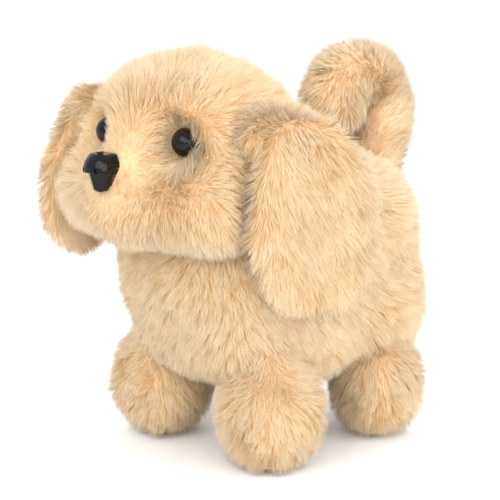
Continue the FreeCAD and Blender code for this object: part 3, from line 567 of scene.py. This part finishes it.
# ---------------------------------------------------------------- CAD pieces
FINISHES = {
    "casing": mottled("casing_plastic", (0.74, 0.62, 0.47), (0.78, 0.66, 0.50), 60, 0.45),
    "skull": mottled("skull_plastic", (0.80, 0.77, 0.70), (0.84, 0.81, 0.74), 60, 0.5),
    "leg_frame": mottled("leg_plastic", (0.82, 0.79, 0.72), (0.86, 0.83, 0.76), 60, 0.45),
    "sole": mottled("sole_rubber", (0.10, 0.065, 0.045), (0.14, 0.09, 0.065), 220, 0.8),
    "steel": mottled("zinc_steel", (0.58, 0.58, 0.60), (0.66, 0.66, 0.68), 300, 0.3, Metallic=1.0),
    "brass": mottled("turned_brass", (0.62, 0.45, 0.18), (0.70, 0.52, 0.22), 300, 0.28, Metallic=1.0),
    "gear": mottled("natural_acetal", (0.86, 0.86, 0.82), (0.90, 0.90, 0.86), 90, 0.35),
    "cam": mottled("blue_acetal", (0.05, 0.12, 0.32), (0.06, 0.14, 0.36), 90, 0.35),
    "yoke": mottled("red_acetal", (0.48, 0.05, 0.035), (0.54, 0.06, 0.04), 90, 0.35),
    "black": mottled("black_gloss", (0.003, 0.003, 0.003), (0.006, 0.005, 0.005), 120, 0.09,
                     Specular_IOR_Level=0.22),
    "washer": mottled("washer_plastic", (0.80, 0.80, 0.80), (0.86, 0.86, 0.86), 90, 0.45),
    "cell": mottled("cell_sleeve", (0.02, 0.025, 0.03), (0.03, 0.035, 0.04), 90, 0.3),
    "board": mottled("solder_mask", (0.015, 0.09, 0.04), (0.02, 0.11, 0.05), 400, 0.35),
    "chip": mottled("chip_resin", (0.01, 0.01, 0.012), (0.018, 0.018, 0.02), 400, 0.55),
    "paper": mottled("cone_paper", (0.012, 0.012, 0.012), (0.02, 0.02, 0.02), 500, 0.85),
    "switch": mottled("switch_plastic", (0.012, 0.012, 0.014), (0.02, 0.02, 0.022), 200, 0.5),
}
slots = {part["node"]: part["material_slot"] for part in frame["record"]["subparts"]}
for node, thing in frame["nodes"].items():
    if slots[node] in FINISHES:
        thing.data.materials.clear()
        thing.data.materials.append(FINISHES[slots[node]])


# ---------------------------------------------------------------- stage, light and camera
def make_floor():
    """A pale floor that sweeps up far behind the puppy."""
    profile = [(-3000, 0), (1500, 0), (1900, 60), (2200, 260), (2350, 600), (2400, 1000), (2400, 4000)]
    rows = []
    for x in (-5000, 5000):
        rows += [(x, y, z) for y, z in profile]
    n = len(profile)
    faces = [(i, i + 1, n + i + 1, n + i) for i in range(n - 1)]
    turn = math.radians(CAMERA_AZIMUTH)
    c, s = math.cos(turn), math.sin(turn)
    points = np.array([(x * c - y * s, x * s + y * c, z - FLOOR_DROP) for x, y, z in rows], float)
    floor = make_mesh("floor", points, faces)
    made, tree, shader = new_material("floor_paper", 0.85, Specular_IOR_Level=0.1)
    colour = ramp(tree, noise(tree, 2.0), ((0.3, (0.96, 0.96, 0.96)), (0.7, (0.98, 0.98, 0.98))))
    tree.links.new(colour, shader.inputs["Base Color"])
    floor.data.materials.append(made)


def aimed_light(data, place, target, power):
    """A light at one point that shines at another, both in metres."""
    data.energy = power
    light = bpy.data.objects.new(data.name, data)
    bpy.context.scene.collection.objects.link(light)
    light.location = place
    light.rotation_euler = (Vector(target) - Vector(place)).to_track_quat("-Z", "Y").to_euler()


def area_light(name, place, target, size, power, colour=(1, 1, 1)):
    data = bpy.data.lights.new(name, "AREA")
    data.shape = "DISK"
    data.size = size
    data.color = colour
    aimed_light(data, place, target, power)


def spot_light(name, place, target, angle, power):
    data = bpy.data.lights.new(name, "SPOT")
    data.spot_size = math.radians(angle)
    data.spot_blend = 1.0
    data.shadow_soft_size = 0.06
    aimed_light(data, place, target, power)


def around(azimuth, elevation, distance):
    """A point in metres at a direction from the puppy, azimuth as for the camera."""
    a, e = math.radians(azimuth), math.radians(elevation)
    return (math.sin(a) * math.cos(e) * distance, -math.cos(a) * math.cos(e) * distance,
            math.sin(e) * distance + 0.08)


def make_light():
    world = bpy.data.worlds.new("studio")
    bpy.context.scene.world = world
    world.use_nodes = True
    sky = world.node_tree.nodes["Background"]
    sky.inputs["Color"].default_value = (1.0, 0.99, 0.98, 1.0)
    sky.inputs["Strength"].default_value = 1.1
    area_light("key", around(10, 35, 1.3), (0, 0, 0.09), 0.8, 4.5, (1.0, 0.98, 0.96))
    area_light("fill", around(75, 12, 1.4), (0, 0, 0.07), 0.9, 6.0)
    area_light("front", around(40, 25, 1.6), (0, 0.04, 0.11), 1.0, 7.0)
    area_light("side", around(105, 35, 1.2), (0, 0.07, 0.13), 0.6, 2.5)
    area_light("rim", around(-140, 45, 1.3), (0, 0, 0.1), 0.6, 5.0)
    spot_light("tail_spot", around(80, 40, 0.9), (0, 0.066, 0.150), 13, 6.0)
    spot_light("tail_front", around(15, 50, 0.9), (0, 0.085, 0.163), 7, 30.0)


def make_camera():
    a, e = math.radians(CAMERA_AZIMUTH), math.radians(CAMERA_ELEVATION)
    back = np.array((math.sin(a) * math.cos(e), -math.cos(a) * math.cos(e), math.sin(e)))
    right = np.array((math.cos(a), math.sin(a), 0.0))
    up = np.cross(back, right)
    target = np.array(CAMERA_TARGET)
    place = (target + back * CAMERA_DISTANCE) * MM
    aim = (target - right * AIM_LEFT - up * AIM_DOWN) * MM
    data = bpy.data.cameras.new("camera")
    data.lens = CAMERA_LENS
    data.sensor_width = 36.0
    camera = bpy.data.objects.new("camera", data)
    bpy.context.scene.collection.objects.link(camera)
    camera.location = place
    camera.rotation_euler = Vector(aim - place).to_track_quat("-Z", "Y").to_euler()
    bpy.context.scene.camera = camera


make_floor()
make_light()
make_camera()
bpy.context.scene.view_settings.view_transform = "Standard"
